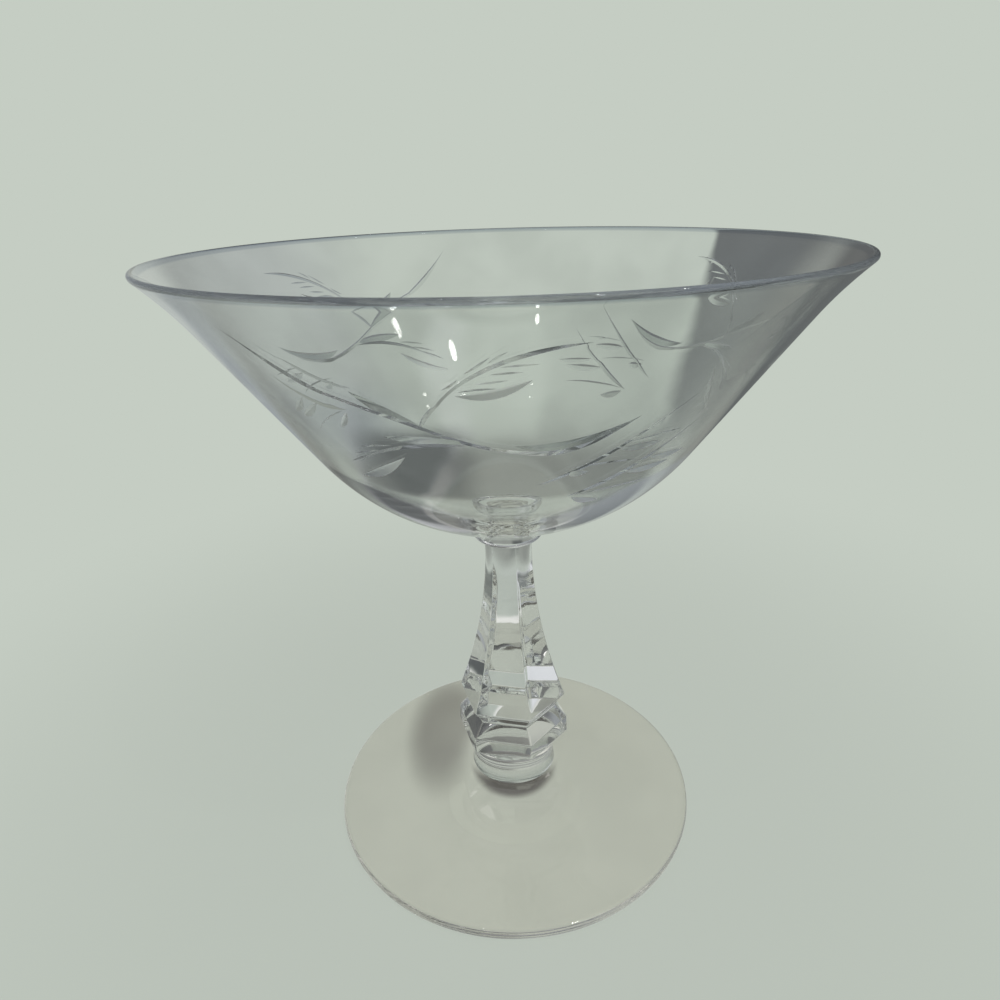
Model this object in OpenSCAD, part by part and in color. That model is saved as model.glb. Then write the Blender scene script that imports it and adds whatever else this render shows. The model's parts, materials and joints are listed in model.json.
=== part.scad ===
// Coupe glass: a blown bowl, a collar, a six-sided stem with a two-tier knop, a round post and a spread foot.
// The five pieces of clear glass meet face to face where they are fused.
// Millimetres, +Z up, origin at the middle of the foot's underside.

/* [Bowl] */
// Outside diameter at the rim
rim_d = 116.6; // [100:0.2:130]
// Height of the bowl from the lowest point of its round underside to the rim
bowl_h = 50.4; // [44:0.2:58]
// Slope of the straight part of the side, from the level
side_angle = 55; // [48:1:62]
// How far the lip turns outwards from the side's slope
lip_flare = 11; // [6:1:16]
// Radius of the lip's outward curve
lip_flare_r = 53; // [35:1:70]
// Thickness of the glass at the side and the lip
bowl_wall = 1; // [0.8:0.1:1.6]
// Thickness of the glass at the bottom of the bowl
bowl_floor = 1.8; // [1.4:0.1:3]

/* [Collar] */
// Largest diameter of the collar
merese_d = 14.8; // [13:0.2:17]
// Height of the collar, up to the lowest point of the bowl's round underside
merese_h = 4.5; // [3.6:0.1:6]
// Rounding of the collar's lower edge
merese_edge = 2.5; // [1.6:0.1:2.8]
// Diameter of the face where the collar and the bowl are fused
bowl_seat_d = 14.4; // [12:0.2:16]

/* [Stem] */
// Height of the stem with its knop
stem_h = 49.6; // [40:0.2:64]
// Distance across the corners at the stem's top
stem_top_d = 9.5; // [7:0.1:11]
// Distance across the corners at the upper ridge of the knop
upper_ridge_d = 23.5; // [19:0.1:28]
// Distance across the corners in the groove between the two tiers
groove_d = 19.2; // [15:0.1:22]
// Distance across the corners at the top edge of the lower tier
lower_ridge_d = 24.5; // [21:0.1:28]
// Distance across the corners at the bottom edge of the lower tier
lower_edge_d = 24.8; // [21:0.1:28]
// Height of the upper ridge above the stem's lower end
upper_ridge_h = 12.1; // [10.5:0.1:15]
// Height of the groove above the stem's lower end
groove_h = 9; // [7.5:0.1:10]
// Height of the lower tier's top edge above the stem's lower end
lower_ridge_h = 5.9; // [4:0.1:7]
// Height of the lower tier's bottom edge above the stem's lower end
lower_edge_h = 2.3; // [1.5:0.1:3.5]
// Turn of the stem about its axis
stem_turn = 48; // [0:1:60]

/* [Post] */
// Diameter of the round post under the stem
post_d = 18.6; // [15:0.1:21]
// Height of the post
post_h = 6.5; // [4:0.1:10]

/* [Foot] */
// Diameter of the foot
foot_d = 79; // [66:0.5:92]
// Height of the foot at the post
foot_h = 9; // [7:0.1:10.5]
// Thickness of the foot's rounded edge
foot_edge = 2.4; // [1.8:0.1:3.2]
// Slope of the outer part of the foot's top
foot_slope = 3; // [1:0.5:6]
// Slope of the foot's top where it meets the post
foot_rise = 30; // [28:1:60]
// Diameter inside the ring that the foot stands on
ring_d = 66; // [50:1:72]
// Depth of the hollow under the foot
hollow_h = 1.2; // [0.6:0.1:2]

/* [Hidden] */
$fn = 128;
GLASS = [0.80, 0.84, 0.82, 0.5];
FUSED_GLASS = [0.72, 0.78, 0.78, 0.6];

// Heights of the faces where the pieces are fused, from the foot up
post_z = foot_h;
stem_z = post_z + post_h;
merese_z = stem_z + stem_h;
bowl_z = merese_z + merese_h;
rim_z = bowl_z + bowl_h;

// The bowl's two walls: a round bottom centred on the axis, a straight side and an outward curve at the lip
lip_angle = side_angle - lip_flare;
lip_mid = [rim_d / 2 - bowl_wall / 2, rim_z - bowl_wall / 2];
lip_out = lip_mid + bowl_wall / 2 * across(lip_angle);
lip_in = lip_mid - bowl_wall / 2 * across(lip_angle);
flare_centre = lip_out + lip_flare_r * across(lip_angle);
outer_round_r = round_r(lip_out, bowl_z, lip_flare_r);
inner_round_r = round_r(lip_in, bowl_z + bowl_floor, lip_flare_r + bowl_wall);
bowl_seat_z = bowl_z + outer_round_r - sqrt(pow(outer_round_r, 2) - pow(bowl_seat_d / 2, 2));

// The stem's hollow panels follow a large circle from the upper ridge, which leaves them upright at the top
panel_in = flat_r(stem_top_d);
panel_out = flat_r(upper_ridge_d);
panel_h = stem_h - upper_ridge_h;
panel_r = (pow(panel_h, 2) + pow(panel_out - panel_in, 2)) / (2 * (panel_out - panel_in));
panel_steps = 20;

// Rings of corners that the stem is drawn through: distance of the corners from the axis, and height
panel_rings = [for (i = [0:panel_steps])
    let (drop = panel_h * (1 - i / panel_steps))
    [corner_r(panel_in + panel_r - sqrt(pow(panel_r, 2) - pow(drop, 2))), stem_h - drop]];
knop_rings = [[post_d / 2, 0], [lower_edge_d / 2, lower_edge_h], [lower_ridge_d / 2, lower_ridge_h],
              [groove_d / 2, groove_h]];
stem_rings = concat(knop_rings, panel_rings);

// The foot's top: a gentle slope from its rounded edge, then a hollow curve up to the post
edge_mid = [foot_d / 2 - foot_edge / 2, foot_edge / 2];
slope_start = edge_mid + foot_edge / 2 * above(foot_slope);
post_rim = [post_d / 2, foot_h];
rise_r = (post_rim - slope_start) * above(foot_slope) / (1 - cos(foot_rise - foot_slope));
rise_centre = post_rim + rise_r * above(foot_rise);
slope_end = rise_centre - rise_r * above(foot_slope);
hollow_r = (pow(ring_d / 2, 2) + pow(hollow_h, 2)) / (2 * hollow_h);

// Distance from the axis to a flat of a six-sided section, from its size across the corners
function flat_r(corner_d) = corner_d / 2 * cos(30);

// Distance from the axis to a corner of a six-sided section, from that to a flat
function corner_r(flat) = flat / cos(30);

// Direction square to a surface that falls outwards at the given slope, outwards and up
function above(slope) = [sin(slope), cos(slope)];

// Direction square to a wall of the given slope, outwards and down
function across(slope) = [sin(slope), -cos(slope)];

// Radius of the round bottom that joins a wall's straight side to its lowest point on the axis
function round_r(lip, low_z, flare_r) =
    let (run = lip[0] - flare_r * (sin(side_angle) - sin(lip_angle)),
         rise = lip[1] - low_z - flare_r * (cos(lip_angle) - cos(side_angle)))
    (run * sin(side_angle) - rise * cos(side_angle)) / (1 - cos(side_angle));

// Everything inside one wall of the bowl, from the axis out, up to the lip
module bowl_fill(low_z, bottom_r, flare_r, lip, top_z) {
    side_start = [bottom_r * sin(side_angle), low_z + bottom_r * (1 - cos(side_angle))];
    side_end = flare_centre - flare_r * across(side_angle);
    difference() {
        union() {
            intersection() {
                translate([0, low_z + bottom_r]) circle(bottom_r);
                translate([0, low_z]) square([side_start[0], side_start[1] - low_z]);
            }
            polygon([[0, side_start[1]], side_start, side_end, lip, [0, top_z]]);
        }
        translate(flare_centre) circle(flare_r);
    }
}

// Half section of the bowl, with a rounded lip and a level seat for the collar
module bowl_section() {
    lip_line_z = lip_out[1] + lip_out[0] / tan(lip_angle);
    difference() {
        bowl_fill(bowl_z, outer_round_r, lip_flare_r, lip_out, lip_line_z);
        bowl_fill(bowl_z + bowl_floor, inner_round_r, lip_flare_r + bowl_wall, lip_in, lip_line_z);
        square([bowl_seat_d, bowl_seat_z]);
    }
    translate(lip_mid) circle(d = bowl_wall);
}

module bowl() {
    color(GLASS) rotate_extrude() bowl_section();
}

module merese() {
    color(FUSED_GLASS) rotate_extrude() union() {
        translate([merese_d / 2 - merese_edge, merese_z + merese_edge]) circle(merese_edge);
        polygon([[0, merese_z], [merese_d / 2 - merese_edge, merese_z], [merese_d / 2, merese_z + merese_edge],
                 [bowl_seat_d / 2, bowl_seat_z], [0, bowl_seat_z]]);
    }
}

module stem() {
    sides = 6;
    rings = len(stem_rings);
    corners = [for (ring = stem_rings, i = [0:sides - 1])
        [ring[0] * cos(360 * i / sides), ring[0] * sin(360 * i / sides), ring[1]]];
    lower_end = [for (i = [0:sides - 1]) i];
    upper_end = [for (i = [sides - 1:-1:0]) (rings - 1) * sides + i];
    panels = [for (k = [0:rings - 2], i = [0:sides - 1])
        [k * sides + i, (k + 1) * sides + i, (k + 1) * sides + (i + 1) % sides, k * sides + (i + 1) % sides]];
    color(GLASS) translate([0, 0, stem_z]) rotate(stem_turn)
        polyhedron(corners, concat([lower_end, upper_end], panels));
}

module foot_post() {
    color(FUSED_GLASS) translate([0, 0, post_z]) cylinder(d = post_d, h = post_h);
}

module foot() {
    color(GLASS) rotate_extrude() difference() {
        union() {
            polygon([[0, 0], [edge_mid[0], 0], edge_mid, slope_start, slope_end, post_rim, [0, foot_h]]);
            translate(edge_mid) circle(d = foot_edge);
        }
        translate(rise_centre) circle(rise_r);
        translate([0, hollow_h - hollow_r]) circle(hollow_r, $fn = 2880);
    }
}

bowl();
merese();
stem();
foot_post();
foot();
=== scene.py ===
import json
import math

import bpy
from mathutils import Matrix, Vector

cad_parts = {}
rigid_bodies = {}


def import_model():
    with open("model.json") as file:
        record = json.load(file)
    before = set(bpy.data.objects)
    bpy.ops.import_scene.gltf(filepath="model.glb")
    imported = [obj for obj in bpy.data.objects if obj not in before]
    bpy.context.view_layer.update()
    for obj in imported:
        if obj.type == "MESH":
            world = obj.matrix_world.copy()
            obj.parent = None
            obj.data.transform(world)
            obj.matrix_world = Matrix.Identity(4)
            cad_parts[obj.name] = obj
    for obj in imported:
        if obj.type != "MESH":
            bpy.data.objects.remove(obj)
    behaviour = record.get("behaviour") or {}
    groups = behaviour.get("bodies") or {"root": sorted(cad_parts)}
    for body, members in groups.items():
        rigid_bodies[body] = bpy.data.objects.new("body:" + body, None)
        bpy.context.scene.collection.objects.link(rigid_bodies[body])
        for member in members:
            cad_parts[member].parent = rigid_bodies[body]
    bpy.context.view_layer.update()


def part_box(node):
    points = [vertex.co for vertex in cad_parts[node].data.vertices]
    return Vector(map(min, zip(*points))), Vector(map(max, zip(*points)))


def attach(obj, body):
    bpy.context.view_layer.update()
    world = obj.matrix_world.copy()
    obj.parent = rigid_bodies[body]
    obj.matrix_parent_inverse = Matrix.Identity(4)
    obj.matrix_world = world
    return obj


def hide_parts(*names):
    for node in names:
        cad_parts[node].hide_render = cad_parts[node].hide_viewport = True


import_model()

bl_info = {
    "name": "Coupe glass",
    "version": (1, 0, 0),
    "blender": (4, 5, 0),
    "location": "3D View > Sidebar > Coupe",
    "description": "Builds a stemmed coupe glass with wheel-cut leaf sprays on its packed frame",
    "category": "Object",
}

MM = 0.001
BODY = "root"

# Points nearer than the first are one point, and faces nearer than the second are in the same plane
SAME_POINT = 0.001 * MM
SAME_PLANE = 0.01 * MM

# Slack of a piece in its node's box
BOX_SLACK = 0.05 * MM

# A face is level if its normal is at least this upright
LEVEL = 0.999

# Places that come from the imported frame
bowl_low, bowl_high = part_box("bowl")
collar_low, collar_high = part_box("merese")
stem_low, stem_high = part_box("stem")
post_low, post_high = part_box("foot_post")
foot_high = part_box("foot")[1]


def length(name, description, millimetres):
    """A length that a user may change, kept in metres."""
    return bpy.props.FloatProperty(
        name=name, description=description, default=millimetres * MM, min=0.0, precision=5, unit="LENGTH")


def slope(name, description, degrees):
    """An angle that a user may change."""
    return bpy.props.FloatProperty(
        name=name, description=description, default=math.radians(degrees), subtype="ANGLE")


def tint(name, description, colour):
    """A colour that a user may change."""
    return bpy.props.FloatVectorProperty(
        name=name, description=description, default=colour, size=3, min=0.0, max=1.0, subtype="COLOR")


class CoupeBowlSizes(bpy.types.PropertyGroup):
    rim_d: length("Rim", "Outside diameter at the rim", 2 * bowl_high.x / MM)
    depth: length("Depth", "Height from the lowest point of the round underside to the rim", 50.4)
    side: slope("Side", "Slope of the straight part of the side, from the level", 55)
    flare: slope("Flare", "How far the lip turns outwards from the side's slope", 11)
    flare_r: length("Flare radius", "Radius of the lip's outward curve", 53)
    wall: length("Wall", "Thickness of the glass at the side and the lip", 1)
    floor: length("Floor", "Thickness of the glass at the bottom", 1.8)
    seat_d: length("Seat", "Diameter of the face that is fused to the collar", 14.4)


class CoupeCutSizes(bpy.types.PropertyGroup):
    sprays: bpy.props.IntProperty(
        name="Sprays", description="Leaf sprays round the bowl", default=3, min=1, max=3)
    spacing: slope("Spacing", "Turn from one spray to the next, as the cutter set it out by eye", 117.3)
    rib_depth: length("Ribs", "Depth of the vines and the middle ribs", 0.23)
    blade_depth: length("Blades", "Depth of the long leaf blades", 0.32)
    lens_depth: length("Lenses", "Depth of the short broad cuts", 0.2)
    barb_depth: length("Barbs", "Depth of the fine lines in the leaves", 0.115)


class CoupeStemSizes(bpy.types.PropertyGroup):
    collar_d: length("Collar", "Largest diameter of the collar", 2 * collar_high.x / MM)
    collar_edge: length("Collar edge", "Rounding of the collar's lower edge", 2.5)
    top_d: length("Top", "Distance across the corners at the stem's top", 9.5)
    upper_ridge_d: length("Upper ridge", "Distance across the corners at the upper ridge", 23.5)
    groove_d: length("Groove", "Distance across the corners between the two tiers", 19.2)
    lower_ridge_d: length("Lower ridge", "Distance across the corners at the lower tier's top edge", 24.5)
    lower_edge_d: length("Lower edge", "Distance across the corners at the lower tier's bottom edge", 24.8)
    upper_ridge_h: length("Upper ridge height", "Height of the upper ridge above the stem's lower end", 12.1)
    groove_h: length("Groove height", "Height of the groove above the stem's lower end", 9)
    lower_ridge_h: length("Lower ridge height", "Height of the lower tier's top edge", 5.9)
    lower_edge_h: length("Lower edge height", "Height of the lower tier's bottom edge", 2.3)
    polish_r: length("Polish", "Rounding that the fire leaves on the knop's ridges", 0.5)
    turn: slope("Turn", "Turn of the stem about its axis", 48)
    post_d: length("Post", "Diameter of the round post", 2 * post_high.x / MM)
    post_waist: length("Post waist", "How far the post draws in between its ends", 0.25)


class CoupeFootSizes(bpy.types.PropertyGroup):
    foot_d: length("Foot", "Diameter of the foot", 2 * foot_high.x / MM)
    edge: length("Edge", "Thickness of the rounded edge", 2.4)
    slope: slope("Slope", "Slope of the outer part of the top", 3)
    rise: slope("Rise", "Slope of the top where it meets the post", 30)
    ring_d: length("Ring", "Diameter inside the ring that the foot stands on", 66)
    hollow: length("Hollow", "Depth of the hollow underneath", 1.2)


class CoupeLooks(bpy.types.PropertyGroup):
    blown: tint("Blown glass", "Tint of the bowl", (0.93, 0.945, 0.935))
    pressed: tint("Pressed glass", "Tint of the collar, the stem and the post", (0.95, 0.955, 0.965))
    foot: tint("Foot glass", "Tint of the foot", (0.99, 0.955, 0.905))
    # Painted shade: the top of the lip is tinted dark blue-grey, for the dark line along the rim
    lip: tint("Lip", "Tint of the thick lip", (0.50, 0.54, 0.60))
    knop: tint("Knop", "Tint of the thick glass of the knop and the post", (0.86, 0.865, 0.875))
    # Painted shade: the post's bottom is tinted dark where it meets the foot
    shaded: tint("Shaded glass", "Tint of the post where it meets the foot", (0.52, 0.56, 0.58))
    # Painted shade: the polished cuts are tinted darker than the glass, for their dark lines
    cut: tint("Cut glass", "Tint of the cuts that are polished", (0.75, 0.77, 0.77))
    ground: tint("Ground glass", "Tint of the broad cuts that are left matt", (0.88, 0.90, 0.90))
    # Painted shade: the long blades are tinted dark, darker than the other cuts
    deep: tint("Deep cuts", "Tint of the long blades, which are ground deepest", (0.45, 0.48, 0.48))
    backdrop: tint("Backdrop", "Colour of the floor and the backdrop", (0.558, 0.610, 0.546))


# Mesh work

def begin(name, add_primitive, **settings):
    """Adds a primitive on its own and names it."""
    bpy.ops.object.select_all(action="DESELECT")
    add_primitive(**settings)
    piece = bpy.context.object
    piece.name = name
    piece.data.name = name
    return piece


def edit_all(piece):
    """Opens a piece in edit mode with everything selected."""
    bpy.ops.object.select_all(action="DESELECT")
    piece.select_set(True)
    bpy.context.view_layer.objects.active = piece
    bpy.ops.object.mode_set(mode="EDIT")
    bpy.ops.mesh.select_all(action="SELECT")


def select_vertices(piece, test):
    """Selects the vertices whose places pass a test, in edit mode."""
    bpy.ops.object.mode_set(mode="OBJECT")
    for part in (piece.data.polygons, piece.data.edges):
        part.foreach_set("select", [False] * len(part))
    for vertex in piece.data.vertices:
        vertex.select = test(vertex.co)
    bpy.ops.object.mode_set(mode="EDIT")
    bpy.ops.mesh.select_mode(type="VERT")


def arc(centre, radius, start, end, steps):
    """Points of an arc in the half plane of an outline, from one angle to another."""
    turns = [start + (end - start) * i / steps for i in range(steps + 1)]
    return [Vector((centre[0] + radius * math.cos(a), centre[1] + radius * math.sin(a))) for a in turns]


def line(start, end, steps):
    """Points of a straight run in an outline, without the first."""
    return [start.lerp(end, (i + 1) / steps) for i in range(steps)]


def across(angle):
    """Direction square to a wall of the given slope, outwards and down."""
    return Vector((math.sin(angle), -math.cos(angle)))


def turned(name, outline, steps):
    """Draws half an outline from the axis and back to it, and spins it round the axis into a closed piece."""
    piece = begin(name, bpy.ops.mesh.primitive_plane_add, size=MM)
    edit_all(piece)
    bpy.ops.mesh.merge(type="CENTER")
    bpy.ops.transform.translate(value=(outline[0].x, 0, outline[0].y))
    for start, end in zip(outline, outline[1:]):
        step = end - start
        bpy.ops.mesh.extrude_region_move(TRANSFORM_OT_translate={"value": (step.x, 0, step.y)})
    bpy.ops.mesh.select_all(action="SELECT")
    bpy.ops.mesh.spin(steps=steps, angle=2 * math.pi, center=(0, 0, 0), axis=(0, 0, 1))
    bpy.ops.mesh.select_all(action="SELECT")
    bpy.ops.mesh.remove_doubles(threshold=SAME_POINT)
    bpy.ops.mesh.normals_make_consistent(inside=False)
    bpy.ops.object.mode_set(mode="OBJECT")
    return piece


def apply_modifier(piece, kind, **settings):
    """Adds a modifier, sets it and applies it."""
    bpy.ops.object.select_all(action="DESELECT")
    piece.select_set(True)
    bpy.context.view_layer.objects.active = piece
    bpy.ops.object.modifier_add(type=kind)
    modifier = piece.modifiers[-1]
    for name, value in settings.items():
        setattr(modifier, name, value)
    bpy.ops.object.modifier_apply(modifier=modifier.name)


def smooth(piece, degrees):
    """Shades a piece smooth, except over edges sharper than the angle."""
    bpy.ops.object.select_all(action="DESELECT")
    piece.select_set(True)
    bpy.context.view_layer.objects.active = piece
    bpy.ops.object.shade_smooth_by_angle(angle=math.radians(degrees))


def fuse(piece, z, radius, index):
    """Gives the faces inside a fused joint the material that doesn't show.
    The glass runs on there, and no surface is seen."""
    for face in piece.data.polygons:
        level = abs(face.normal.z) > LEVEL and abs(face.center.z - z) < SAME_PLANE
        if level and Vector(face.center[:2]).length < radius:
            face.material_index = index


def finish_piece(piece, node):
    """Checks that a piece is closed and lies where its node does, and puts it on the frame."""
    uses = {}
    for face in piece.data.polygons:
        for key in face.edge_keys:
            uses[key] = uses.get(key, 0) + 1
    if any(count != 2 for count in uses.values()):
        raise RuntimeError(f"{piece.name} isn't closed: {sum(c != 2 for c in uses.values())} open edges")
    low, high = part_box(node)
    for vertex in piece.data.vertices:
        if any(vertex.co[i] < low[i] - BOX_SLACK or vertex.co[i] > high[i] + BOX_SLACK for i in range(3)):
            raise RuntimeError(f"{piece.name} leaves the place of {node} at {tuple(vertex.co)}")
    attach(piece, BODY)
    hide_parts(node)


# Shader work

# Sockets of the Mix node for colours
MIX_SHARE, MIX_FIRST, MIX_SECOND = 0, 6, 7
MIX_RESULT = 2

GLASS_IOR = 1.52

# Clouds in the tint: waves to the metre, and the range of the noise over which they show
CLOUD_SCALE = 60.0
CLOUD_RANGE = (0.35, 0.7)
CLOUD_SHADE = 0.9
FOOT_CLOUD_SHADE = 0.96

# Traces of wear: waves to the metre, detail, range of the noise and the roughness that they add
WEAR_SCALE = 900.0
WEAR_DETAIL = 4.0
WEAR_RANGE = (0.62, 0.8)
WEAR_ROUGH = 0.05

# Roughness of each finish
CLEAR = 0.0
CUT_ROUGH = 0.1
DEEP_ROUGH = 0.2
MATT_ROUGH = 0.3

# Waviness of each kind of glass: height in millimetres and waves to the metre
BLOWN_WAVE = (0.02, 70.0)
WHEEL_WAVE = (0.01, 900.0)
COLLAR_WAVE = (0.01, 250.0)
STEM_WAVE = (0.06, 160.0)
POST_WAVE = (0.03, 160.0)
FOOT_WAVE = (0.03, 60.0)

# Heights in millimetres between which a tint comes in: the deeper tint of the knop's thick glass, and painted
# shade on the lip and at the post's bottom
LIP_SHADE_HEIGHTS = (119.0, 119.35)
KNOP_TINT = (34, 22)
POST_SHADE_HEIGHTS = (12, 9.5)


class Value:
    """A number from a socket, which adds Math nodes where it is used in an expression."""

    def __init__(self, board, socket):
        self.board = board
        self.socket = socket

    def worked(self, operation, first, second):
        return self.board.add("ShaderNodeMath", {"operation": operation}, {0: first, 1: second})

    def __add__(self, other):
        return self.worked("ADD", self, other)

    def __radd__(self, other):
        return self.worked("ADD", other, self)

    def __sub__(self, other):
        return self.worked("SUBTRACT", self, other)

    def __rsub__(self, other):
        return self.worked("SUBTRACT", other, self)

    def __mul__(self, other):
        return self.worked("MULTIPLY", self, other)

    def __rmul__(self, other):
        return self.worked("MULTIPLY", other, self)

    def __truediv__(self, other):
        return self.worked("DIVIDE", self, other)

    def __pow__(self, other):
        return self.worked("POWER", self, other)


class Board:
    """The node tree of one material or of the world."""

    def __init__(self, owner):
        owner.use_nodes = True
        self.tree = owner.node_tree
        self.tree.nodes.clear()

    def add(self, kind, settings, sockets, output=0):
        """Adds a node, sets it, fills its sockets with values or links, and gives one of its outputs."""
        node = self.tree.nodes.new(kind)
        for name, value in settings.items():
            setattr(node, name, value)
        for name, value in sockets.items():
            if isinstance(value, Value):
                self.tree.links.new(value.socket, node.inputs[name])
            else:
                node.inputs[name].default_value = value
        return Value(self, node.outputs[output]) if node.outputs else None

    def place(self):
        """The place on the object, in metres."""
        return self.add("ShaderNodeTexCoord", {}, {}, "Object")

    def parts(self, vector):
        """The three numbers of a vector."""
        split = self.add("ShaderNodeSeparateXYZ", {}, {"Vector": vector}).socket.node
        return [Value(self, output) for output in split.outputs]

    def noise(self, place, scale, detail=2.0):
        """A soft noise from 0 to 1, with scale in waves to the metre."""
        return self.add("ShaderNodeTexNoise", {}, {"Vector": place, "Scale": scale, "Detail": detail})

    def ramp(self, value, low, high):
        """Runs from 0 to 1 smoothly between two numbers."""
        return self.add(
            "ShaderNodeMapRange", {"interpolation_type": "SMOOTHSTEP"},
            {"Value": value, "From Min": low, "From Max": high})

    def band(self, value, rise, fall):
        """Runs from 0 to 1 over one range and back to 0 over another."""
        return self.ramp(value, *rise) * (1 - self.ramp(value, *fall))

    def spot(self, x, y, middle, radii):
        """The square of the distance from the middle of an ellipse, with 1 on the ellipse."""
        return ((x - middle[0]) / radii[0]) ** 2 + ((y - middle[1]) / radii[1]) ** 2

    def mix(self, share, first, second):
        """Mixes two colours."""
        return self.add(
            "ShaderNodeMix", {"data_type": "RGBA"},
            {MIX_SHARE: share, MIX_FIRST: first, MIX_SECOND: second}, MIX_RESULT)


def rgba(colour, factor=1.0):
    """A colour with its alpha."""
    return (*(c * factor for c in colour), 1.0)


def glass(name, colour, rough, wave, shade=CLOUD_SHADE, alpha=1.0, thick=None):
    """Clear glass with a faint tint, a soft waviness from the fire and traces of wear.
    Thick gives two heights and the colour that the glass reaches at the second: the deeper tint of the knop's
    thick glass, and painted shade on the lip and at the post's bottom."""
    material = bpy.data.materials.new(name)
    board = Board(material)
    place = board.place()
    cloud = board.ramp(board.noise(place, CLOUD_SCALE), *CLOUD_RANGE)
    wear = board.ramp(board.noise(place, WEAR_SCALE, WEAR_DETAIL), *WEAR_RANGE)
    tinted = board.mix(cloud, rgba(colour), rgba(colour, shade))
    # A tint by height: the deeper tint of the knop's thick glass, and painted shade at the lip and the post's
    # bottom
    if thick:
        start, end, deeper = thick
        share = board.ramp(board.parts(place)[2], start * MM, end * MM)
        tinted = board.mix(share, tinted, rgba(deeper))
    wave_height, wave_scale = wave
    height = board.noise(place, wave_scale)
    normal = board.add(
        "ShaderNodeBump", {}, {"Strength": 1.0, "Distance": wave_height * MM, "Height": height})
    shader = board.add("ShaderNodeBsdfPrincipled", {}, {
        "Base Color": tinted,
        "Roughness": rough + WEAR_ROUGH * wear,
        "Normal": normal,
        "Transmission Weight": 1.0,
        "IOR": GLASS_IOR,
        "Alpha": alpha,
    })
    board.add("ShaderNodeOutputMaterial", {}, {"Surface": shader})
    return material


# Leaf spray: strokes of the cutting wheel, each by its start, middle and end.
# A place is an angle round the bowl in degrees and a height as a share of the bowl's depth.
# A rib's last two numbers are the share of its depth that it keeps at its two ends.
RIBS = [
    ((-100, 0.72), (-90.5, 0.842), (-79.5, 0.885), 0.5, 0),
    ((-100, 0.72), (-102, 0.69), (-103.5, 0.655), 0.5, 0.6),
    ((-130.5, 0.92), (-125.5, 0.83), (-118, 0.74), 0, 1),
    ((-118, 0.74), (-110.5, 0.695), (-103, 0.645), 1, 1),
    ((-103, 0.645), (-95.5, 0.595), (-87, 0.565), 1, 1),
    ((-87, 0.565), (-75, 0.58), (-66.5, 0.69), 1, 0),
    ((-124, 0.46), (-110, 0.57), (-96, 0.59), 0, 0),
    ((-83.5, 0.43), (-68, 0.555), (-55.5, 0.735), 0, 0),
    ((-76, 0.37), (-59, 0.49), (-46, 0.7), 0, 0),
]
BLADES = [
    ((-87.5, 0.6), (-75.5, 0.6), (-66, 0.69)),
    ((-113, 0.755), (-109, 0.71), (-103.5, 0.655)),
    ((-111.5, 0.605), (-103.5, 0.61), (-96, 0.6)),
]
LENSES = [
    ((-97, 0.757), (-92, 0.757), (-86.5, 0.803)),
    ((-124, 0.435), (-115.5, 0.48), (-109, 0.545)),
    ((-78, 0.475), (-75.5, 0.47), (-73, 0.47)),
    ((-68.5, 0.54), (-64, 0.54), (-58.5, 0.54)),
    ((-74.5, 0.365), (-70.5, 0.345), (-66.5, 0.335)),
    ((-63.5, 0.44), (-57, 0.435), (-50, 0.44)),
    ((-58.5, 0.48), (-53, 0.47), (-47, 0.47)),
]
BARBS = [
    ((-96.5, 0.76), (-94, 0.77), (-91, 0.77)),
    ((-94, 0.785), (-92, 0.79), (-89.5, 0.795)),
    ((-92, 0.81), (-90, 0.815), (-87.5, 0.815)),
    ((-90.5, 0.83), (-88, 0.835), (-85.5, 0.835)),
    ((-98.5, 0.77), (-97, 0.785), (-96, 0.8)),
    ((-95, 0.815), (-93, 0.84), (-91.5, 0.86)),
    ((-92, 0.84), (-91, 0.855), (-89.5, 0.87)),
    ((-124, 0.485), (-120.5, 0.51), (-117, 0.53)),
    ((-121.5, 0.52), (-118, 0.54), (-114, 0.55)),
    ((-118.5, 0.555), (-114.5, 0.57), (-110.5, 0.575)),
    ((-79.5, 0.48), (-72, 0.495), (-62, 0.475)),
    ((-67, 0.56), (-61.5, 0.57), (-55, 0.57)),
    ((-75, 0.37), (-66, 0.38), (-52, 0.37)),
]

# Width above and below each kind of stroke's line, as shares of its depth
RIB_FLANKS = (1.0, 2.1)
BLADE_FLANKS = (1.6, 4.4)
LENS_FLANKS = (2.8, 5.2)
BARB_FLANKS = (1.0, 2.1)

# How far the wheel's diamond section reaches from its middle, as a share of the cut's depth
WHEEL_REACH = 1.6

# Length of a step along a stroke, and the fewest steps that a stroke has
STROKE_STEP = 0.6 * MM
FEWEST_STROKE_STEPS = 6

# A corner of the wheel's section is the one whose reach is more than this share of the section's
CORNER_SHARE = 0.9

# A stroke starts and ends in the air, this many times as far from its middle as the cut does
LIFT = 1.45

# Places of the materials after the plain glass, in the bowl and in the other pieces
CUT, FUSED, MATT, DEEP = 1, 2, 3, 4
SEAM = 1

# Steps round the axis
BOWL_STEPS = 240
ROUND_STEPS = 96
FOOT_STEPS = 2 * ROUND_STEPS

# Steps of the arcs and straight runs in the outlines
BOTTOM_STEPS = 44
SIDE_STEPS = 10
FLARE_STEPS = 12
LIP_STEPS = 40
COLLAR_EDGE_STEPS = 10
COLLAR_SIDE_STEPS = 6
PANEL_STEPS = 32
POLISH_STEPS = 4
POST_STEPS = 16
FOOT_EDGE_STEPS = 14
FOOT_SLOPE_STEPS = 6
FOOT_RISE_STEPS = 24
HOLLOW_STEPS = 20

# Angles in degrees up to which a piece is shaded smooth; the bowl's keeps the cuts off the wall around them
BOWL_SMOOTH = 6
STEM_SMOOTH = 35
ROUND_SMOOTH = 40


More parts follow.
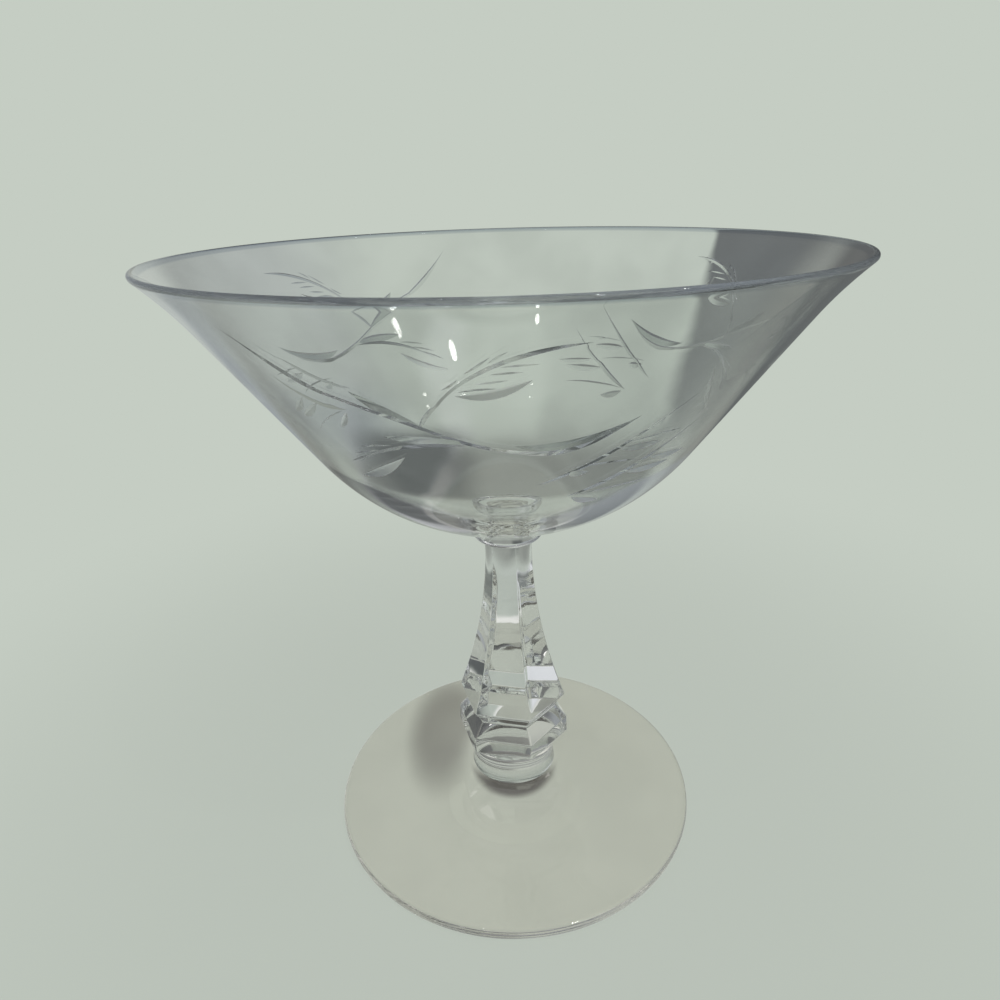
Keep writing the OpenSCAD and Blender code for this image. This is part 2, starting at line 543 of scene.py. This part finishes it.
class BowlShape:
    """The bowl's two walls.
    Each has a round bottom centred on the axis, a straight side and an outward curve at the lip."""

    def __init__(self, sizes):
        self.sizes = sizes
        self.low_z = bowl_high.z - sizes.depth
        self.side = sizes.side
        self.lip = sizes.side - sizes.flare
        self.seat_z = bowl_low.z
        half = sizes.wall / 2
        self.lip_mid = Vector((sizes.rim_d / 2 - half, bowl_high.z - half))
        self.lip_out = self.lip_mid + half * across(self.lip)
        self.lip_in = self.lip_mid - half * across(self.lip)
        self.flare_centre = self.lip_out + sizes.flare_r * across(self.lip)
        self.outer_r = self.round_r(self.lip_out, self.low_z, sizes.flare_r)
        self.inner_z = self.low_z + sizes.floor
        self.inner_r = self.round_r(self.lip_in, self.inner_z, sizes.flare_r + sizes.wall)
        self.side_start_z = self.low_z + self.outer_r * (1 - math.cos(self.side))
        self.side_end = self.flare_centre - sizes.flare_r * across(self.side)

    def round_r(self, lip, low_z, flare_r):
        """Radius of the round bottom that joins a wall's straight side to its lowest point."""
        run = lip.x - flare_r * (math.sin(self.side) - math.sin(self.lip))
        rise = lip.y - low_z - flare_r * (math.cos(self.lip) - math.cos(self.side))
        return (run * math.sin(self.side) - rise * math.cos(self.side)) / (1 - math.cos(self.side))

    def wall(self, low_z, bottom_r, flare_r, start):
        """Points of one wall from its bottom up to the lip, from the slope at which it starts."""
        down = -math.pi / 2
        bottom = arc((0, low_z + bottom_r), bottom_r, down + start, down + self.side, BOTTOM_STEPS)
        up = math.pi / 2
        flare = arc(self.flare_centre, flare_r, up + self.side, up + self.lip, FLARE_STEPS)
        return bottom + line(bottom[-1], flare[0], SIDE_STEPS) + flare[1:]

    def outline(self):
        """The half section, from the seat's middle round the lip to the bottom inside."""
        sizes = self.sizes
        start = math.asin(sizes.seat_d / 2 / self.outer_r)
        outer = self.wall(self.low_z, self.outer_r, sizes.flare_r, start)
        outer[0] = Vector((sizes.seat_d / 2, self.seat_z))
        inner = self.wall(self.inner_z, self.inner_r, sizes.flare_r + sizes.wall, 0)
        inner[0] = Vector((0, self.inner_z))
        quarter = math.pi / 2
        lip = arc(self.lip_mid, sizes.wall / 2, self.lip - quarter, self.lip + quarter, LIP_STEPS)
        return [Vector((0, self.seat_z))] + outer[:-1] + lip + inner[-2::-1]

    def on_wall(self, place):
        """The point of the outer wall at a place of the spray, and the direction square to it."""
        turn = math.radians(place[0])
        z = self.low_z + place[1] * self.sizes.depth
        if z < self.side_start_z:
            level = self.low_z + self.outer_r - z
            r = math.sqrt(self.outer_r ** 2 - level ** 2)
            angle = math.acos(level / self.outer_r)
        elif z < self.side_end.y:
            r = self.outer_r * math.sin(self.side) + (z - self.side_start_z) / math.tan(self.side)
            angle = self.side
        else:
            level = z - self.flare_centre.y
            r = self.flare_centre.x - math.sqrt(self.sizes.flare_r ** 2 - level ** 2)
            angle = math.acos(level / self.sizes.flare_r)
        square = across(angle)
        round_about = Vector((math.cos(turn), math.sin(turn)))
        point = Vector((*(r * round_about), z))
        return point, Vector((*(square.x * round_about), square.y))


def lifted(places):
    """The places of a stroke whose wheel comes in from the air and leaves into it.
    The share of its depth at its two ends comes with them."""
    first, middle, last = places
    start, end = (
        tuple(m + LIFT * (p - m) for p, m in zip(place, middle)) for place in (first, last))
    return (start, middle, end), 1 - LIFT ** 2


def stroke(shape, places, depth, flanks, start_share, end_share):
    """One stroke of the wheel: a section of four corners spun along the arc through three places.
    The two flanks give the width above and below the cut's line as shares of its depth."""
    edge = WHEEL_REACH * depth
    points = []
    for place, share in zip(places, (start_share, 1.0, end_share)):
        point, out = shape.on_wall(place)
        points.append(point + (edge - depth * share) * out)
    ab = points[1] - points[0]
    ac = points[2] - points[0]
    axis = ab.cross(ac)
    to_centre = (axis.cross(ab) * ac.dot(ac) + ac.cross(axis) * ab.dot(ab)) / (2 * axis.dot(axis))
    centre = points[0] + to_centre
    axis.normalize()
    middle = (points[1] - centre).normalized()
    before = (points[0] - centre).angle(points[1] - centre)
    after = (points[2] - centre).angle(points[1] - centre)
    out = shape.on_wall(places[1])[1]
    tilt = math.atan2(out.dot(axis), out.dot(middle))
    deep = math.cos(tilt) * middle + math.sin(tilt) * axis
    wide = math.cos(tilt) * axis - math.sin(tilt) * middle
    back = Matrix.Rotation(-before, 3, axis)
    deep, wide = back @ deep, back @ wide
    turn = Matrix((deep, wide, deep.cross(wide))).transposed()
    tool = begin(
        "wheel", bpy.ops.mesh.primitive_circle_add, vertices=4, radius=edge, fill_type="NGON",
        location=points[0], rotation=turn.to_euler())
    bpy.ops.object.transform_apply(location=True, rotation=True, scale=True)
    edit_all(tool)
    upwards = wide if wide.z > 0 else -wide
    for flank, away in zip(flanks, (upwards, -upwards)):
        select_vertices(tool, lambda co: (co - points[0]).dot(away) > CORNER_SHARE * edge)
        bpy.ops.transform.translate(value=away * edge * (flank - 1))
    bpy.ops.mesh.select_all(action="SELECT")
    arc_length = (before + after) * to_centre.length
    steps = max(FEWEST_STROKE_STEPS, round(arc_length / STROKE_STEP))
    bpy.ops.mesh.spin(steps=steps, angle=-(before + after), center=centre, axis=axis)
    bpy.ops.mesh.select_all(action="SELECT")
    bpy.ops.mesh.normals_make_consistent(inside=False)
    bpy.ops.object.mode_set(mode="OBJECT")
    return tool


def leaf_spray(shape, sizes):
    """All strokes of one spray, as pairs of a tool and the finish that it leaves."""
    tools = [(stroke(shape, cut[:3], sizes.rib_depth, RIB_FLANKS, cut[3], cut[4]), CUT) for cut in RIBS]
    for cuts, depth, flanks, finish in (
            (BLADES, sizes.blade_depth, BLADE_FLANKS, DEEP),
            (LENSES, sizes.lens_depth, LENS_FLANKS, MATT),
            (BARBS, sizes.barb_depth, BARB_FLANKS, CUT)):
        for cut in cuts:
            places, share = lifted(cut)
            tools.append((stroke(shape, places, depth, flanks, share, share), finish))
    return tools


class COUPE_OT_bowl(bpy.types.Operator):
    """Blow the bowl and cut the leaf sprays into its outer wall"""

    bl_idname = "coupe.bowl"
    bl_label = "Bowl"

    def execute(self, context):
        sizes = context.scene.coupe_bowl
        cuts = context.scene.coupe_cuts
        looks = context.scene.coupe_looks
        shape = BowlShape(sizes)
        bowl = turned("coupe_bowl", shape.outline(), BOWL_STEPS)
        finishes = [
            # Painted shade: the top of the lip takes the dark lip tint
            glass("blown_glass", looks.blown, CLEAR, BLOWN_WAVE, thick=(*LIP_SHADE_HEIGHTS, looks.lip)),
            # Painted shade: the polished cuts take the darker cut tint
            glass("wheel_cut_glass_painted_shade", looks.cut, CUT_ROUGH, WHEEL_WAVE),
            glass("fused_seat", looks.blown, CLEAR, BLOWN_WAVE, alpha=0.0),
            glass("wheel_ground_glass", looks.ground, MATT_ROUGH, WHEEL_WAVE),
            # Painted shade: the long blades take the dark deep tint
            glass("deep_ground_glass_painted_shade", looks.deep, DEEP_ROUGH, WHEEL_WAVE),
        ]
        for finish in finishes:
            bowl.data.materials.append(finish)
        fuse(bowl, shape.seat_z, sizes.seat_d / 2, FUSED)
        spray = leaf_spray(shape, cuts)
        for tool, index in spray:
            for finish in finishes:
                tool.data.materials.append(finish)
            for face in tool.data.polygons:
                face.material_index = index
        tools = bpy.data.collections.new("wheel_cuts")
        context.scene.collection.children.link(tools)
        for k in range(cuts.sprays):
            about = Matrix.Rotation(k * cuts.spacing, 4, "Z")
            for tool, _ in spray:
                copy = tool.copy()
                copy.data = tool.data.copy()
                copy.data.transform(about)
                tools.objects.link(copy)
        apply_modifier(
            bowl, "BOOLEAN", operation="DIFFERENCE", operand_type="COLLECTION", collection=tools,
            solver="MANIFOLD")
        for tool in [tool for tool, _ in spray] + list(tools.objects):
            bpy.data.objects.remove(tool)
        bpy.data.collections.remove(tools)
        smooth(bowl, BOWL_SMOOTH)
        finish_piece(bowl, "bowl")
        return {"FINISHED"}


class COUPE_OT_collar(bpy.types.Operator):
    """Form the collar between the stem and the bowl"""

    bl_idname = "coupe.collar"
    bl_label = "Collar"

    def execute(self, context):
        sizes = context.scene.coupe_stem
        looks = context.scene.coupe_looks
        low, high = collar_low.z, collar_high.z
        seat_r = context.scene.coupe_bowl.seat_d / 2
        widest = sizes.collar_d / 2
        edge_mid = (widest - sizes.collar_edge, low + sizes.collar_edge)
        edge = arc(edge_mid, sizes.collar_edge, -math.pi / 2, 0, COLLAR_EDGE_STEPS)
        top = Vector((seat_r, high))
        outline = [Vector((0, low)), Vector((sizes.top_d / 2, low))] + edge
        outline += line(edge[-1], top, COLLAR_SIDE_STEPS) + [Vector((0, high))]
        collar = turned("coupe_collar", outline, ROUND_STEPS)
        collar.data.materials.append(glass("pressed_glass_collar", looks.pressed, CLEAR, COLLAR_WAVE))
        collar.data.materials.append(glass("fused_collar", looks.pressed, CLEAR, COLLAR_WAVE, alpha=0.0))
        fuse(collar, low, sizes.top_d / 2, SEAM)
        fuse(collar, high, seat_r, SEAM)
        smooth(collar, ROUND_SMOOTH)
        finish_piece(collar, "merese")
        return {"FINISHED"}


def fillet(before, corner, after, radius, steps):
    """Points of a small arc that rounds a corner of an outline."""
    back = (before - corner).normalized()
    ahead = (after - corner).normalized()
    half = back.angle(ahead) / 2
    reach = radius / math.tan(half)
    middle = corner + (back + ahead).normalized() * radius / math.sin(half)
    first = corner + back * reach - middle
    last = corner + ahead * reach - middle
    turn = first.angle_signed(last)
    found = []
    for i in range(steps + 1):
        found.append(middle + Matrix.Rotation(-turn * i / steps, 2) @ first)
    return found


# The stem's section: sides, cuts along each, and the rounding of its corners
STEM_SIDES = 6
STEM_SIDE_CUTS = 7
STEM_CORNER_SHARE = 0.999
STEM_CORNER_ROUND = 0.03
STEM_CORNER_STEPS = 4

# Length over which the section runs from six-sided to round under the collar
STEM_TOP_RUN = 10 * MM

# How strongly large faces pull the stem's normals
LARGE_FACE_WEIGHT = 100


class COUPE_OT_stem(bpy.types.Operator):
    """Press the six-sided stem with its two-tier knop"""

    bl_idname = "coupe.stem"
    bl_label = "Stem"

    def execute(self, context):
        sizes = context.scene.coupe_stem
        looks = context.scene.coupe_looks
        low, high = stem_low.z, stem_high.z
        flat = math.cos(math.pi / STEM_SIDES)
        panel_in = sizes.top_d / 2 * flat
        panel_out = sizes.upper_ridge_d / 2 * flat
        panel_h = high - low - sizes.upper_ridge_h
        panel_r = (panel_h ** 2 + (panel_out - panel_in) ** 2) / (2 * (panel_out - panel_in))
        panel = []
        for i in range(PANEL_STEPS + 1):
            drop = panel_h * (1 - i / PANEL_STEPS)
            inside = panel_in + panel_r - math.sqrt(panel_r ** 2 - drop ** 2)
            panel.append(Vector((inside / flat, high - drop)))
        knop = [
            Vector((sizes.post_d / 2, low)),
            Vector((sizes.lower_edge_d / 2, low + sizes.lower_edge_h)),
            Vector((sizes.lower_ridge_d / 2, low + sizes.lower_ridge_h)),
            Vector((sizes.groove_d / 2, low + sizes.groove_h)),
            panel[0],
            panel[1],
        ]
        outline = [knop[0]]
        for before, corner, after in zip(knop, knop[1:], knop[2:]):
            outline += fillet(before, corner, after, sizes.polish_r, POLISH_STEPS)
        outline += panel[1:]
        stem = begin(
            "coupe_stem", bpy.ops.mesh.primitive_circle_add, vertices=STEM_SIDES, radius=outline[0].x,
            fill_type="NOTHING", location=(0, 0, outline[0].y), rotation=(0, 0, sizes.turn - math.pi / 2))
        bpy.ops.object.transform_apply(location=True, rotation=True, scale=True)
        edit_all(stem)
        bpy.ops.mesh.subdivide(number_cuts=STEM_SIDE_CUTS)
        select_vertices(stem, lambda co: Vector(co[:2]).length > STEM_CORNER_SHARE * outline[0].x)
        bpy.ops.mesh.bevel(
            affect="VERTICES", offset=STEM_CORNER_ROUND * outline[0].x, segments=STEM_CORNER_STEPS)
        bpy.ops.mesh.select_all(action="SELECT")
        bpy.ops.mesh.edge_face_add()
        for start, end in zip(outline, outline[1:]):
            bpy.ops.mesh.extrude_region_move(TRANSFORM_OT_translate={"value": (0, 0, end.y - start.y)})
            scale = end.x / start.x
            bpy.ops.transform.resize(value=(scale, scale, 1))
        bpy.ops.mesh.select_all(action="SELECT")
        bpy.ops.mesh.normals_make_consistent(inside=False)
        bpy.ops.object.mode_set(mode="OBJECT")
        # The section is round where it meets the collar and the post
        sixth = 2 * math.pi / STEM_SIDES
        for vertex in stem.data.vertices:
            x, y, z = vertex.co
            share = max(0.0, (z - high + STEM_TOP_RUN) / STEM_TOP_RUN)
            share = share * share * (3 - 2 * share)
            if z < low + SAME_PLANE:
                share = 1.0
            angle = (math.atan2(y, x) - sizes.turn) % sixth - sixth / 2
            r = math.hypot(x, y)
            full = r * math.cos(angle) / flat
            wanted = r + (full - r) * share
            vertex.co.x *= wanted / r
            vertex.co.y *= wanted / r
        stem.data.materials.append(glass(
            "pressed_glass_stem", looks.pressed, CLEAR, STEM_WAVE, thick=(*KNOP_TINT, looks.knop)))
        stem.data.materials.append(glass("fused_stem", looks.pressed, CLEAR, COLLAR_WAVE, alpha=0.0))
        fuse(stem, low, sizes.post_d / 2, SEAM)
        fuse(stem, high, sizes.top_d / 2, SEAM)
        smooth(stem, STEM_SMOOTH)
        apply_modifier(
            stem, "WEIGHTED_NORMAL", mode="FACE_AREA", weight=LARGE_FACE_WEIGHT, keep_sharp=True)
        finish_piece(stem, "stem")
        return {"FINISHED"}


class COUPE_OT_post(bpy.types.Operator):
    """Form the round post under the knop"""

    bl_idname = "coupe.post"
    bl_label = "Post"

    def execute(self, context):
        sizes = context.scene.coupe_stem
        looks = context.scene.coupe_looks
        low, high = post_low.z, post_high.z
        r = sizes.post_d / 2
        side = []
        for i in range(POST_STEPS + 1):
            share = i / POST_STEPS
            waist = sizes.post_waist * math.sin(math.pi * share)
            side.append(Vector((r - waist, low + (high - low) * share)))
        outline = [Vector((0, low))] + side + [Vector((0, high))]
        post = turned("coupe_post", outline, ROUND_STEPS)
        # Painted shade darkens the post's bottom, where it meets the foot
        post.data.materials.append(glass(
            "pressed_glass_post_painted_shade", looks.knop, CLEAR, POST_WAVE, thick=(*POST_SHADE_HEIGHTS, looks.shaded)))
        post.data.materials.append(glass("fused_post", looks.pressed, CLEAR, COLLAR_WAVE, alpha=0.0))
        fuse(post, low, r, SEAM)
        fuse(post, high, r, SEAM)
        smooth(post, ROUND_SMOOTH)
        finish_piece(post, "foot_post")
        return {"FINISHED"}


class COUPE_OT_foot(bpy.types.Operator):
    """Spread the foot, with a rounded edge and a shallow hollow underneath"""

    bl_idname = "coupe.foot"
    bl_label = "Foot"

    def execute(self, context):
        sizes = context.scene.coupe_foot
        looks = context.scene.coupe_looks
        height = foot_high.z
        post_r = context.scene.coupe_stem.post_d / 2
        half = sizes.edge / 2
        quarter = math.pi / 2
        edge_mid = Vector((sizes.foot_d / 2 - half, half))
        edge = arc(edge_mid, half, -quarter, quarter - sizes.slope, FOOT_EDGE_STEPS)
        post_rim = Vector((post_r, height))
        above = Vector((math.sin(sizes.slope), math.cos(sizes.slope)))
        rise_r = (post_rim - edge[-1]).dot(above) / (1 - math.cos(sizes.rise - sizes.slope))
        rise_mid = post_rim + rise_r * Vector((math.sin(sizes.rise), math.cos(sizes.rise)))
        down = 3 * quarter
        rise = arc(rise_mid, rise_r, down - sizes.slope, down - sizes.rise, FOOT_RISE_STEPS)
        rise[-1] = post_rim
        hollow_r = ((sizes.ring_d / 2) ** 2 + sizes.hollow ** 2) / (2 * sizes.hollow)
        reach = math.asin(sizes.ring_d / 2 / hollow_r)
        hollow_mid = (0, sizes.hollow - hollow_r)
        hollow = arc(hollow_mid, hollow_r, quarter, quarter - reach, HOLLOW_STEPS)
        hollow[0] = Vector((0, sizes.hollow))
        hollow[-1] = Vector((sizes.ring_d / 2, 0))
        top = line(edge[-1], rise[0], FOOT_SLOPE_STEPS)[:-1] + rise + [Vector((0, height))]
        foot = turned("coupe_foot", hollow + edge + top, FOOT_STEPS)
        foot.data.materials.append(glass(
            "foot_glass", looks.foot, CLEAR, FOOT_WAVE, shade=FOOT_CLOUD_SHADE))
        foot.data.materials.append(glass("fused_foot", looks.foot, CLEAR, FOOT_WAVE, alpha=0.0))
        fuse(foot, height, post_r, SEAM)
        smooth(foot, ROUND_SMOOTH)
        finish_piece(foot, "foot")
        return {"FINISHED"}


# Stage

CAMERA_PLACE = (0.0, -0.13085, 0.13018)
CAMERA_PITCH = 23.608
CAMERA_ROLL = -1.729
CAMERA_YAW = -0.614
CAMERA_LENS = 26.16
CAMERA_SENSOR = 36.0
CAMERA_CLIP = (0.005, 50.0)

# Lamps: name, place, width, height, power in watts and colour. All point at one place in the bowl
LAMP_AIM = (0, 0.02, 0.08)
WARM = (1.0, 0.98, 0.95)
PALE = (1.0, 0.99, 0.97)
LAMPS = [
    ("key", (0.41, -0.45, 1.06), 0.055, 0.04, 0.7, WARM),
    ("small_left", (-0.24, -0.45, 1.06), 0.03, 0.02, 0.15, WARM),
    ("small_right", (0.71, -0.15, 1.06), 0.045, 0.04, 0.35, WARM),
    ("window", (0.65, -0.6, 0.85), 0.4, 0.5, 0.5, PALE),
]

# Enough bounces for light to leave the glass again, because paths cut short show black
BOUNCES = 128
TRANSPARENT_BOUNCES = 64

FLOOR_SIZE = 8.0
FLOOR_DROP = 0.05 * MM

# Studio round the glass: its tones, and the parts of a direction over which one tone runs into the next
LEFT_WALL = (0.33, 0.36, 0.38)
MIDDLE_WALL = (0.17, 0.17, 0.165)
RIGHT_WALL = (0.05, 0.053, 0.056)
FRONT_WALL = (0.13, 0.135, 0.14)
BACK_WALL = (0.56, 0.59, 0.54)
CEILING = (0.40, 0.41, 0.42)
LEFT_TO_MIDDLE = (-0.6, 0.1)
MIDDLE_TO_RIGHT = (0.1, 0.6)
FRONT_TO_SIDES = (-0.7, 0.1)
SIDES_TO_BACK = (0.8, 0.95)
BACK_TO_RIGHT = (-0.1, 0.1)
WALLS_TO_CEILING = (0.4, 1.0)

# Cards on the floor: the tone of each, and the ranges over which it fades in and out.
# A reach is a distance from the glass's axis, and behind is a distance behind it, in metres.
# A side is the share of the reach that lies to the right, or to the left for the left cards and the near end.
AWAY = (0.17, 0.24)
BEHIND = (0.0, 0.12)
RING_TONE = (0.28, 0.295, 0.27)
RING_REACH = ((0.10, 0.14), (0.185, 0.27))
RING_BEHIND = (0.0, 0.08)
LEFT_NEAR_TONE = (0.33, 0.36, 0.372)
LEFT_FAR_TONE = (0.49, 0.525, 0.505)
LEFT_REACH = (0.28, 0.42)
LEFT_SIDE = (0.15, 0.35)
RIGHT_TONE = (0.13, 0.14, 0.14)
RIGHT_LEAN = 0.295
RIGHT_EDGE = (0.012, 0.03)
PATCH_TONE = (0.115, 0.125, 0.122)
PATCH_REACH = ((0.12, 0.15), (0.225, 0.27))
PATCH_SIDE = ((-0.4, -0.28), (-0.15, -0.05))

# Cards round the foot
NEAR_REACH = ((0.042, 0.05), (0.08, 0.10))
NEAR_RIGHT_TONE = (0.06, 0.065, 0.07)
NEAR_LEFT_TONE = (0.95, 0.97, 1.0)
NEAR_SIDE = (0.25, 0.45)
NEAR_END_TONE = (0.22, 0.235, 0.235)
NEAR_END_SIDE = (0.55, 0.7)

# Painted line round the foot's edge: a painted highlight at the back left and a painted shadow at the front
# right
BRIM_REACH = ((0.040, 0.042), (0.044, 0.048))
BRIM_HIGHLIGHT_TONE = (1.0, 1.0, 0.95)
BRIM_SHADOW_TONE = (0.12, 0.12, 0.11)
BRIM_TURN = (-0.3, 0.5)

# Painted shadow under the foot, left of the post, and painted shade under the post
SHADOW_TONE = (0.22, 0.225, 0.205)
SHADOW_MIDDLE = (-0.017, 0.017)
SHADOW_RADII = (0.009, 0.020)
SHADOW_FADE = (0.2, 1.6)
SHADOW_SHARE = 0.8
POST_SHADE_TONE = (0.10, 0.095, 0.085)
POST_SHADE_MIDDLE = (0.0, 0.0025)
POST_SHADE_RADII = (0.007, 0.0065)
POST_SHADE_FADE = (0.5, 1.4)

# Share of the floor that glows by itself near the glass, and the reach over which it becomes the whole
GLOW_SHARE = 0.8
GLOW_REACH = (0.05, 0.22)


def add_camera(scene):
    """The camera at the angle of the photograph."""
    data = bpy.data.cameras.new("camera")
    data.lens = CAMERA_LENS
    data.sensor_width = CAMERA_SENSOR
    data.clip_start, data.clip_end = CAMERA_CLIP
    camera = bpy.data.objects.new("camera", data)
    scene.collection.objects.link(camera)
    pitch, roll, yaw = (math.radians(a) for a in (CAMERA_PITCH, CAMERA_ROLL, CAMERA_YAW))
    ahead = Vector((math.sin(yaw) * math.cos(pitch), math.cos(yaw) * math.cos(pitch), -math.sin(pitch)))
    right = Vector((math.cos(yaw), -math.sin(yaw), 0))
    up = right.cross(ahead)
    across_x = math.cos(roll) * right + math.sin(roll) * up
    along_y = math.cos(roll) * up - math.sin(roll) * right
    turn = Matrix((across_x, along_y, -ahead)).transposed()
    camera.matrix_world = Matrix.Translation(CAMERA_PLACE) @ turn.to_4x4()
    scene.camera = camera


def add_lamp(scene, name, place, width, height, power, colour):
    """A soft box that points at the bowl."""
    data = bpy.data.lights.new(name, "AREA")
    data.shape = "ELLIPSE"
    data.size = width
    data.size_y = height
    data.energy = power
    data.color = colour
    lamp = bpy.data.objects.new(name, data)
    scene.collection.objects.link(lamp)
    lamp.location = place
    lamp.rotation_euler = (Vector(LAMP_AIM) - Vector(place)).to_track_quat("-Z", "Y").to_euler()


def paint_world(scene, backdrop):
    """A flat backdrop for the camera, and a soft studio for everything else."""
    world = bpy.data.worlds.new("studio")
    scene.world = world
    board = Board(world)
    direction = board.add("ShaderNodeTexCoord", {}, {}, "Generated")
    x, y, z = board.parts(direction)
    left = board.mix(board.ramp(x, *LEFT_TO_MIDDLE), rgba(LEFT_WALL), rgba(MIDDLE_WALL))
    sides = board.mix(board.ramp(x, *MIDDLE_TO_RIGHT), left, rgba(RIGHT_WALL))
    walls = board.mix(board.ramp(y, *FRONT_TO_SIDES), rgba(FRONT_WALL), sides)
    back = board.ramp(y, *SIDES_TO_BACK) * (1 - board.ramp(x, *BACK_TO_RIGHT))
    walls = board.mix(back, walls, rgba(BACK_WALL))
    studio = board.mix(board.ramp(z, *WALLS_TO_CEILING), walls, rgba(CEILING))
    seen = board.add("ShaderNodeLightPath", {}, {}, "Is Camera Ray")
    flat = board.add("ShaderNodeBackground", {}, {"Color": rgba(backdrop), "Strength": 1.0})
    soft = board.add("ShaderNodeBackground", {}, {"Color": studio, "Strength": 1.0})
    shown = board.add("ShaderNodeMixShader", {}, {0: seen, 1: soft, 2: flat})
    board.add("ShaderNodeOutputWorld", {}, {"Surface": shown})


def paint_floor(backdrop):
    """A pale floor that keeps the shadow near the glass and runs into the backdrop further out.
    Soft cards lie on it behind the glass and round the foot, as a photographer of glass uses, with a painted
    shadow left of the post, painted shade under the post and a painted highlight and shadow round the foot's
    edge.
    They show only through the glass, and the camera sees the plain floor beside it."""
    material = bpy.data.materials.new("pale_floor")
    board = Board(material)
    place = board.place()
    reach = board.add("ShaderNodeVectorMath", {"operation": "LENGTH"}, {0: place}, "Value")
    x, y = board.parts(place)[:2]
    seen = board.add("ShaderNodeLightPath", {}, {}, "Is Camera Ray")
    side = x / reach
    left_side = 0 - side
    away = board.ramp(reach, *AWAY) * board.ramp(y, *BEHIND)
    near = board.band(reach, *NEAR_REACH)

    ring = board.band(reach, *RING_REACH) * board.ramp(y, *RING_BEHIND)
    tone = board.mix(ring, rgba(backdrop), rgba(RING_TONE))
    left = board.mix(board.ramp(reach, *LEFT_REACH), rgba(LEFT_NEAR_TONE), rgba(LEFT_FAR_TONE))
    tone = board.mix(away * board.ramp(left_side, *LEFT_SIDE), tone, left)
    right = away * board.ramp(x - RIGHT_LEAN * y, *RIGHT_EDGE)
    tone = board.mix(right, tone, rgba(RIGHT_TONE))
    patch = board.band(reach, *PATCH_REACH) * board.band(side, *PATCH_SIDE)
    tone = board.mix(patch, tone, rgba(PATCH_TONE))

    tone = board.mix(near * board.ramp(side, *NEAR_SIDE), tone, rgba(NEAR_RIGHT_TONE))
    tone = board.mix(near * board.ramp(left_side, *NEAR_SIDE), tone, rgba(NEAR_LEFT_TONE))
    tone = board.mix(near * board.ramp(left_side, *NEAR_END_SIDE), tone, rgba(NEAR_END_TONE))
    # Painted highlight and painted shadow round the foot's edge, seen through it
    brim_highlight_and_shadow = board.mix(board.ramp((x - y) / reach, *BRIM_TURN), rgba(BRIM_HIGHLIGHT_TONE), rgba(BRIM_SHADOW_TONE))
    tone = board.mix(board.band(reach, *BRIM_REACH), tone, brim_highlight_and_shadow)

    # Painted shadow left of the post, and painted shade under the post, seen through the foot
    shadow = 1 - board.ramp(board.spot(x, y, SHADOW_MIDDLE, SHADOW_RADII), *SHADOW_FADE)
    tone = board.mix(SHADOW_SHARE * shadow, tone, rgba(SHADOW_TONE))
    under = 1 - board.ramp(board.spot(x, y, POST_SHADE_MIDDLE, POST_SHADE_RADII), *POST_SHADE_FADE)
    tone = board.mix(under, tone, rgba(POST_SHADE_TONE))

    colour = board.mix(seen, tone, rgba(backdrop))
    glow = board.add("ShaderNodeEmission", {}, {"Color": colour, "Strength": 1.0})
    cloth = board.add("ShaderNodeBsdfDiffuse", {}, {"Color": rgba(backdrop)})
    share = GLOW_SHARE + (1 - GLOW_SHARE) * board.ramp(reach, *GLOW_REACH)
    shown = board.add("ShaderNodeMixShader", {}, {0: share, 1: cloth, 2: glow})
    board.add("ShaderNodeOutputMaterial", {}, {"Surface": shown})
    return material


class COUPE_OT_stage(bpy.types.Operator):
    """Set up the floor, the lamps and the camera"""

    bl_idname = "coupe.stage"
    bl_label = "Stage"

    def execute(self, context):
        scene = context.scene
        looks = scene.coupe_looks
        floor = begin("floor", bpy.ops.mesh.primitive_plane_add, size=FLOOR_SIZE)
        floor.location.z = -FLOOR_DROP
        floor.data.materials.append(paint_floor(looks.backdrop))
        paint_world(scene, looks.backdrop)
        for lamp in LAMPS:
            add_lamp(scene, *lamp)
        add_camera(scene)
        scene.view_settings.view_transform = "Standard"
        scene.cycles.max_bounces = BOUNCES
        scene.cycles.transmission_bounces = BOUNCES
        scene.cycles.glossy_bounces = BOUNCES
        scene.cycles.transparent_max_bounces = TRANSPARENT_BOUNCES
        return {"FINISHED"}


class COUPE_PT_panel(bpy.types.Panel):
    """The pieces of the glass and its stage"""

    bl_label = "Coupe glass"
    bl_idname = "COUPE_PT_panel"
    bl_space_type = "VIEW_3D"
    bl_region_type = "UI"
    bl_category = "Coupe"

    def draw(self, context):
        for operator in PIECES:
            self.layout.operator(operator.bl_idname)
        for group in GROUPS:
            box = self.layout.box()
            sizes = getattr(context.scene, group)
            for name in sizes.__annotations__:
                box.prop(sizes, name)


GROUPS = {
    "coupe_bowl": CoupeBowlSizes,
    "coupe_cuts": CoupeCutSizes,
    "coupe_stem": CoupeStemSizes,
    "coupe_foot": CoupeFootSizes,
    "coupe_looks": CoupeLooks,
}
PIECES = [COUPE_OT_bowl, COUPE_OT_collar, COUPE_OT_stem, COUPE_OT_post, COUPE_OT_foot, COUPE_OT_stage]


def register():
    for group in GROUPS.values():
        bpy.utils.register_class(group)
    for name, group in GROUPS.items():
        setattr(bpy.types.Scene, name, bpy.props.PointerProperty(type=group))
    for item in [*PIECES, COUPE_PT_panel]:
        bpy.utils.register_class(item)


def unregister():
    for item in [COUPE_PT_panel, *reversed(PIECES)]:
        bpy.utils.unregister_class(item)
    for name in GROUPS:
        delattr(bpy.types.Scene, name)
    for group in reversed(GROUPS.values()):
        bpy.utils.unregister_class(group)


def main():
    register()
    bpy.ops.coupe.bowl()
    bpy.ops.coupe.collar()
    bpy.ops.coupe.stem()
    bpy.ops.coupe.post()
    bpy.ops.coupe.foot()
    bpy.ops.coupe.stage()


if __name__ == "__main__":
    main()
